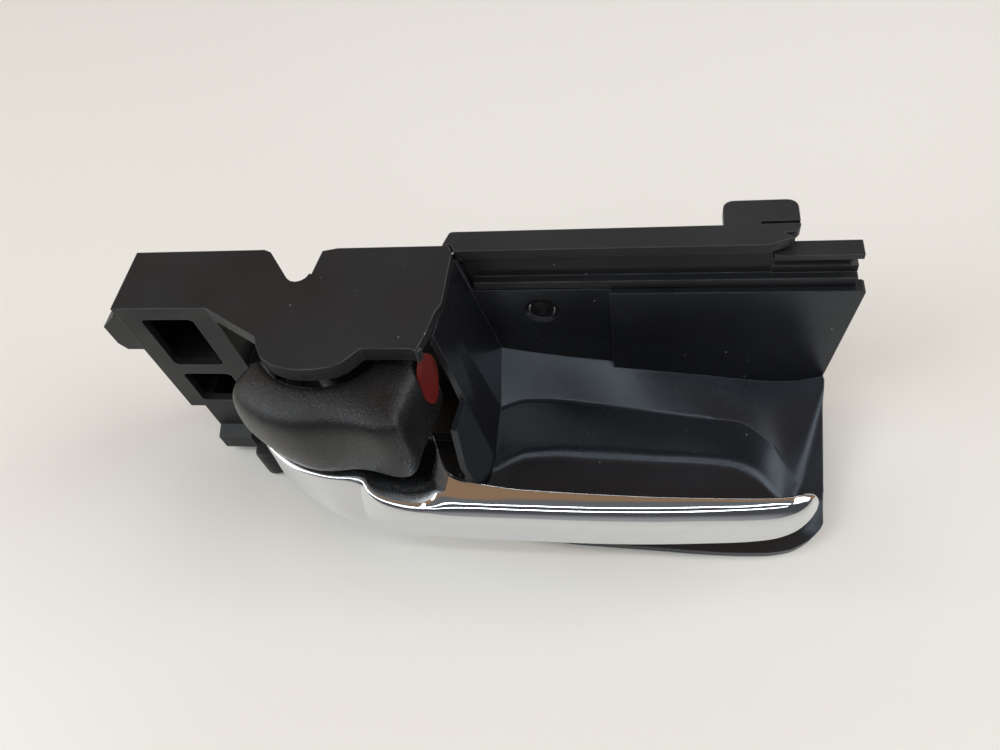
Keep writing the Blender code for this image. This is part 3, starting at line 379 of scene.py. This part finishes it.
# Lever. Foot of the front skin in plan, the bottom's height and the body's depth, then the upper
# outline as depth back from the skin and height: ridge, three points over the top, back edge.
LEVER = (
    ((-60.2, -12.8), 24.4, 2.6, (0.5, 33.6), (0.8, 34.3), (1.3, 34.6), (1.8, 34.7), (2.4, 34.6)),
    ((-58.7, -15.2), 21.8, 4.2, (0.6, 34.2), (0.9, 34.9), (1.5, 35.1), (2.6, 35.1), (4.0, 35.0)),
    ((-55.3, -18.9), 20.0, 5.2, (0.9, 34.4), (1.2, 35.1), (1.9, 35.3), (3.4, 35.3), (5.0, 35.2)),
    ((-50.0, -23.1), 19.2, 6.0, (1.5, 34.4), (1.8, 35.1), (2.6, 35.3), (4.4, 35.4), (7.0, 35.3)),
    ((-44.4, -26.5), 18.8, 7.0, (3.0, 34.5), (3.3, 35.2), (4.2, 35.4), (6.5, 35.4), (10.0, 35.4)),
    ((-38.6, -29.3), 18.5, 8.5, (4.6, 34.6), (4.9, 35.2), (5.8, 35.5), (8.5, 35.5), (13.0, 35.4)),
    ((-33.2, -31.2), 18.3, 9.5, (6.1, 34.7), (6.6, 35.3), (7.5, 35.6), (10.0, 35.6), (15.0, 35.5)),
    ((-30.0, -32.3), 18.2, 10.0, (6.4, 34.5), (7.2, 35.2), (8.4, 35.3), (10.5, 35.0), (16.5, 34.8)),
    ((-27.0, -32.9), 18.1, 10.4, (4.6, 33.5), (5.2, 34.2), (6.4, 34.4), (9.4, 33.9), (17.2, 34.2)),
    ((-23.6, -33.3), 18.0, 10.8, (3.0, 32.7), (3.7, 33.6), (5.0, 33.9), (8.6, 33.3), (18.2, 33.8)),
    ((-19.6, -33.6), 18.0, 11.2, (1.9, 32.2), (2.7, 33.4), (4.2, 33.8), (8.0, 33.2), (20.0, 33.8)),
    ((-15.0, -33.8), 18.0, 11.6, (1.2, 32.1), (2.0, 33.4), (3.5, 33.9), (8.0, 33.4), (22.4, 34.2)),
    ((-11.8, -33.85), 18.0, 11.8, (0.8, 32.1), (1.6, 33.5), (3.0, 34.2), (8.0, 34.0), (22.6, 34.6)),
    ((-9.8, -33.85), 18.0, 12.0, (0.6, 32.2), (1.4, 33.7), (2.7, 34.5), (7.8, 34.7), (19.6, 35.2)),
    ((-8.0, -33.85), 18.0, 12.0, (0.4, 32.1), (1.0, 33.4), (2.0, 34.5), (6.6, 35.3), (15.8, 35.7)),
    ((-6.0, -33.85), 18.0, 11.6, (0.3, 32.1), (0.8, 33.3), (1.8, 34.4), (5.0, 35.4), (12.4, 36.0)),
    ((-3.0, -33.85), 18.0, 10.6, (0.25, 32.2), (0.7, 33.2), (1.6, 34.3), (3.8, 35.25), (10.3, 36.0)),
    ((3.0, -33.85), 18.0, 9.4, (0.2, 32.2), (0.6, 33.2), (1.5, 34.3), (3.3, 35.2), (8.9, 36.0)),
    ((12.0, -33.85), 18.0, 8.2, (0.2, 32.2), (0.55, 33.2), (1.4, 34.3), (3.1, 35.15), (7.7, 36.0)),
    ((33.0, -33.75), 18.1, 7.4, (0.2, 32.2), (0.55, 33.2), (1.4, 34.3), (3.0, 35.15), (6.9, 35.95)),
    ((47.0, -33.3), 18.3, 7.0, (0.2, 32.2), (0.55, 33.1), (1.35, 34.2), (2.9, 35.05), (6.3, 35.85)),
    ((59.0, -32.6), 18.6, 6.6, (0.2, 32.1), (0.55, 33.0), (1.3, 34.1), (2.8, 34.95), (5.8, 35.75)),
    ((69.0, -32.0), 19.2, 6.3, (0.2, 31.8), (0.5, 32.8), (1.25, 33.9), (2.7, 34.85), (5.5, 35.65)),
    ((76.5, -31.1), 20.2, 6.0, (0.2, 31.5), (0.5, 32.5), (1.2, 33.7), (2.6, 34.7), (5.1, 35.5)),
    ((81.2, -29.4), 21.4, 5.6, (0.2, 31.0), (0.5, 32.2), (1.1, 33.4), (2.3, 34.5), (4.6, 35.1)),
    ((84.3, -27.0), 23.0, 4.6, (0.2, 30.4), (0.4, 31.7), (0.9, 33.0), (1.9, 34.1), (3.8, 34.5)),
    ((86.0, -24.6), 25.0, 2.6, (0.1, 29.4), (0.2, 30.6), (0.5, 31.7), (1.1, 32.6), (2.2, 32.8)),
)
# Web under the knob: angle about the pin in degrees, and outer radius.
LEVER_WEB = (
    (0.0, 11.0), (30.0, 11.0), (60.0, 11.0), (90.0, 11.0), (120.0, 11.0), (150.0, 11.0),
    (180.0, 11.0), (200.0, 11.2), (211.0, 14.5), (221.0, 22.0), (227.0, 27.5), (242.0, 29.0),
    (255.0, 30.0), (267.0, 31.0), (279.0, 32.0), (290.0, 33.5), (302.0, 37.0), (311.0, 39.0),
    (317.0, 37.4), (321.5, 34.0), (326.5, 29.6), (331.0, 21.0), (338.0, 14.0), (349.0, 11.4),
)
WEB_BOTTOM, WEB_TOP, WEB_BORE, WEB_ROUND = 29.6, 32.9, 4.3, 0.5


def lever_section(station, inward):
    """One closed outline of the lever: up the front skin, over the top, round the back edge and
    back along the underside."""
    (x, y), bottom, body, ridge, *over, back = station
    lean, ridge_z = ridge
    rise = ridge_z - bottom
    last_over, last_over_z = over[-1]
    edge, edge_z = back
    front = (
        (0.15, bottom + 2.0),
        (0.25 * lean, bottom + 0.25 * rise + 1.4),
        (0.50 * lean, bottom + 0.54 * rise),
        (0.78 * lean, bottom + 0.80 * rise),
    )
    shoulder = (0.72 * last_over + 0.28 * edge, 0.6 * last_over_z + 0.4 * edge_z)
    rounded_edge = (
        (edge - 0.5, edge_z),
        (edge + 0.2, edge_z - 0.3),
        (edge + 0.3, edge_z - 1.2),
        (edge + 0.1, edge_z - 3.4),
    )
    underside = (
        (body + 0.1, edge_z - 5.0),
        (body, 0.5 * (bottom + edge_z) - 1.0),
        (0.85 * body, bottom + 1.3),
        (0.52 * body, bottom),
        (0.18 * body, bottom + 0.5),
    )
    outline = (*front, ridge, *over, shoulder, *rounded_edge, *underside)
    return [(x + inward[0] * d, y + inward[1] * d, z) for d, z in outline]


def make_lever():
    places = [Vector(station[0]) for station in LEVER]
    sections = []
    for i, station in enumerate(LEVER):
        along = places[min(i + 1, len(places) - 1)] - places[max(i - 1, 0)]
        inward = Vector((-along.y, along.x)).normalized()
        sections.append(lever_section(station, inward))
    lever = smoothed(loft("chrome_lever", refined(sections, LEVER_STEPS)), SMOOTH_LEVELS)
    stands_for(lever, "lever_grip", "lever", "chrome")


def make_lever_web():
    """The flat web that carries the lever's skin round the pin, with rounded edges."""
    corner = WEB_TOP - WEB_ROUND
    halfway = 0.3 * WEB_ROUND
    outside = ((0.0, WEB_BOTTOM), (0.0, corner), (halfway, WEB_TOP - halfway), (WEB_ROUND, WEB_TOP))
    bore = ((WEB_ROUND, WEB_TOP), (0.0, corner), (0.0, WEB_BOTTOM))
    rows = []
    for inset, z in outside:
        rows.append([around_pin(radius - inset, degrees, z) for degrees, radius in LEVER_WEB])
    for inset, z in bore:
        rows.append([around_pin(WEB_BORE + inset, degrees, z) for degrees, _ in LEVER_WEB])
    web = loft("chrome_lever_web", [*rows, rows[0]], capped=False)
    stands_for(web, "lever_grip", "lever", "chrome")


# Lock knob. Angle about the pin, then the outer radius at the foot, at half height and at the
# crest.
KNOB = (
    (215.6, 27.4, 28.2, 26.6),
    (216.6, 29.2, 30.4, 28.4),
    (221.0, 30.0, 31.6, 29.6),
    (229.0, 29.6, 31.6, 29.8),
    (240.0, 29.6, 31.0, 29.6),
    (252.0, 29.9, 30.8, 29.4),
    (265.0, 30.2, 30.8, 29.2),
    (277.0, 29.9, 30.4, 29.0),
    (286.5, 30.4, 31.3, 30.0),
    (295.0, 33.3, 33.6, 32.5),
    (301.0, 36.4, 36.6, 35.2),
    (306.0, 37.9, 38.0, 36.6),
    (309.6, 37.0, 37.4, 36.6),
    (313.5, 34.6, 34.9, 34.4),
    (320.0, 32.2, 32.3, 32.0),
    (330.0, 30.1, 30.1, 29.9),
    (340.0, 28.6, 28.6, 28.4),
    (347.0, 27.9, 27.9, 27.7),
)
KNOB_BOTTOM, KNOB_MIDDLE, KNOB_CREST, KNOB_TOP, KNOB_INNER = 36.3, 47.0, 58.4, 61.6, 18.8


def knob_section(station):
    degrees, foot, middle, crest = station
    outline = (
        (foot - 1.2, KNOB_BOTTOM),
        (foot, KNOB_BOTTOM + 0.8),
        (0.5 * (foot + middle) + 0.1, 0.5 * (KNOB_BOTTOM + KNOB_MIDDLE)),
        (middle, KNOB_MIDDLE),
        (0.4 * middle + 0.6 * crest + 0.4, KNOB_CREST - 4.4),
        (crest, KNOB_CREST - 0.9),
        (crest - 2.0, KNOB_CREST + 0.9),
        (0.5 * (KNOB_INNER + crest), 0.5 * (KNOB_CREST + KNOB_TOP) + 0.7),
        (KNOB_INNER + 0.9, KNOB_TOP + 0.1),
        (KNOB_INNER, KNOB_TOP - 0.8),
        (KNOB_INNER, KNOB_MIDDLE),
        (KNOB_INNER, KNOB_BOTTOM + 0.8),
        (KNOB_INNER + 0.9, KNOB_BOTTOM),
    )
    return [around_pin(radius, degrees, z) for radius, z in outline]


def make_knob():
    sections = [knob_section(station) for station in KNOB]
    knob = smoothed(loft("grained_knob", refined(sections, KNOB_STEPS)), SMOOTH_LEVELS)
    stands_for(knob, "lock_knob", "lock", "knob_plastic")


# The room: floor, lights and camera


# The floor is a square this far from its middle to each side, in metres, and lies just below
# the object's foot.
FLOOR_REACH, FLOOR_Z = 6.0, -0.0002
LAMP_COLOR = (0.93, 0.97, 1.0)


def make_floor():
    """A pale smooth table with a faint change of tone over it."""
    paint = Paint("pale_table", (0.818, 0.798, 0.745), 0.3, specular=0.3)
    clouds = paint.spread(paint.noise(2.0, 1.0), 0.1, 0.9)
    tone = paint.mix(clouds, (0.810, 0.791, 0.738), (0.826, 0.805, 0.752))
    gloss = paint.spread(paint.noise(700.0, 2.0), 0.1, 0.9, 0.30, 0.33)
    mesh = bpy.data.meshes.new("table_top")
    corners = [(x * FLOOR_REACH, y * FLOOR_REACH, 0.0) for x, y in ((-1, -1), (1, -1), (1, 1), (-1, 1))]
    mesh.from_pydata(corners, [], [(0, 1, 2, 3)])
    floor = bpy.data.objects.new("table_top", mesh)
    floor.location.z = FLOOR_Z
    SCENE.collection.objects.link(floor)
    mesh.materials.append(paint.finish(tone, gloss))


def softbox(name, towards, distance, size, power):
    light = bpy.data.lights.new(name, "AREA")
    light.shape = "RECTANGLE"
    light.size, light.size_y = size
    light.energy = power
    light.color = LAMP_COLOR
    lamp = bpy.data.objects.new(name, light)
    direction = Vector(towards).normalized()
    lamp.location = direction * distance
    lamp.rotation_mode = "QUATERNION"
    lamp.rotation_quaternion = direction.to_track_quat("Z", "Y")
    SCENE.collection.objects.link(lamp)


# Direction from the object, distance, size and power: two large soft boxes, and three long
# tubes for the lines of light on the chrome.
LAMPS = {
    "left_box": ((-0.95, -0.25, 0.75), 2.0, (1.4, 1.4), 22.0),
    "right_box": ((0.95, 0.1, 0.8), 2.0, (1.4, 1.4), 22.0),
    "near_tube": ((0.0, -0.54, 0.93), 2.0, (2.2, 0.10), 6.0),
    "top_tube": ((0.0, -0.26, 0.97), 2.0, (2.2, 0.10), 6.0),
    "back_tube": ((0.0, 0.80, 0.60), 2.0, (1.6, 0.06), 2.0),
}


# What the room gives off from the near horizon, over the top, to the far one: dark, with a warm
# stretch overhead.
ROOM_TONES = (
    (0.0, (0.42, 0.42, 0.43)),
    (0.14, (0.09, 0.09, 0.10)),
    (0.30, (0.08, 0.08, 0.085)),
    (0.42, (0.17, 0.18, 0.19)),
    (0.50, (0.17, 0.17, 0.17)),
    (0.55, (0.36, 0.22, 0.13)),
    (0.79, (0.34, 0.215, 0.13)),
    (0.88, (0.26, 0.25, 0.24)),
)


def make_room():
    world = bpy.data.worlds.new("room")
    SCENE.world = world
    world.use_nodes = True
    nodes, links = world.node_tree.nodes, world.node_tree.links
    direction = nodes.new("ShaderNodeTexCoord").outputs["Generated"]
    parts = nodes.new("ShaderNodeSeparateXYZ")
    links.new(direction, parts.inputs[0])
    near_far = nodes.new("ShaderNodeMapRange")
    near_far.inputs[1].default_value = -1.0
    links.new(parts.outputs["Y"], near_far.inputs[0])
    ramp = nodes.new("ShaderNodeValToRGB")
    while len(ramp.color_ramp.elements) < len(ROOM_TONES):
        ramp.color_ramp.elements.new(0.5)
    for element, (place, color) in zip(ramp.color_ramp.elements, ROOM_TONES):
        element.position = place
        element.color = (*color, 1.0)
    links.new(near_far.outputs[0], ramp.inputs[0])
    background = nodes["Background"]
    links.new(ramp.outputs[0], background.inputs["Color"])
    background.inputs["Strength"].default_value = 1.0
    for name, (towards, distance, size, power) in LAMPS.items():
        softbox(name, towards, distance, size, power)


# The camera's place in the drawing, and its own axes in the frame.
CAMERA_PLACE = (46.2, -117.0, 219.0)
CAMERA_RIGHT = (0.98303734, 0.10932954, -0.14725703)
CAMERA_UP = (-0.00709007, 0.8249573, 0.56515059)
CAMERA_BACK = (0.18326841, -0.55452007, 0.81173898)
SENSOR_WIDTH, FOCAL_LENGTH, NEAREST_SEEN = 36.0, 29.52, 0.01


def make_camera():
    data = bpy.data.cameras.new("camera")
    data.sensor_width = SENSOR_WIDTH
    data.lens = FOCAL_LENGTH
    data.clip_start = NEAREST_SEEN
    camera = bpy.data.objects.new("camera", data)
    place = Matrix((CAMERA_RIGHT, CAMERA_UP, CAMERA_BACK)).transposed().to_4x4()
    place.translation = world_point(CAMERA_PLACE)
    camera.matrix_world = place
    SCENE.collection.objects.link(camera)
    SCENE.camera = camera


dress_cad_nodes()
make_lever()
make_lever_web()
make_knob()
make_floor()
make_room()
make_camera()
SCENE.view_settings.view_transform = "Standard"
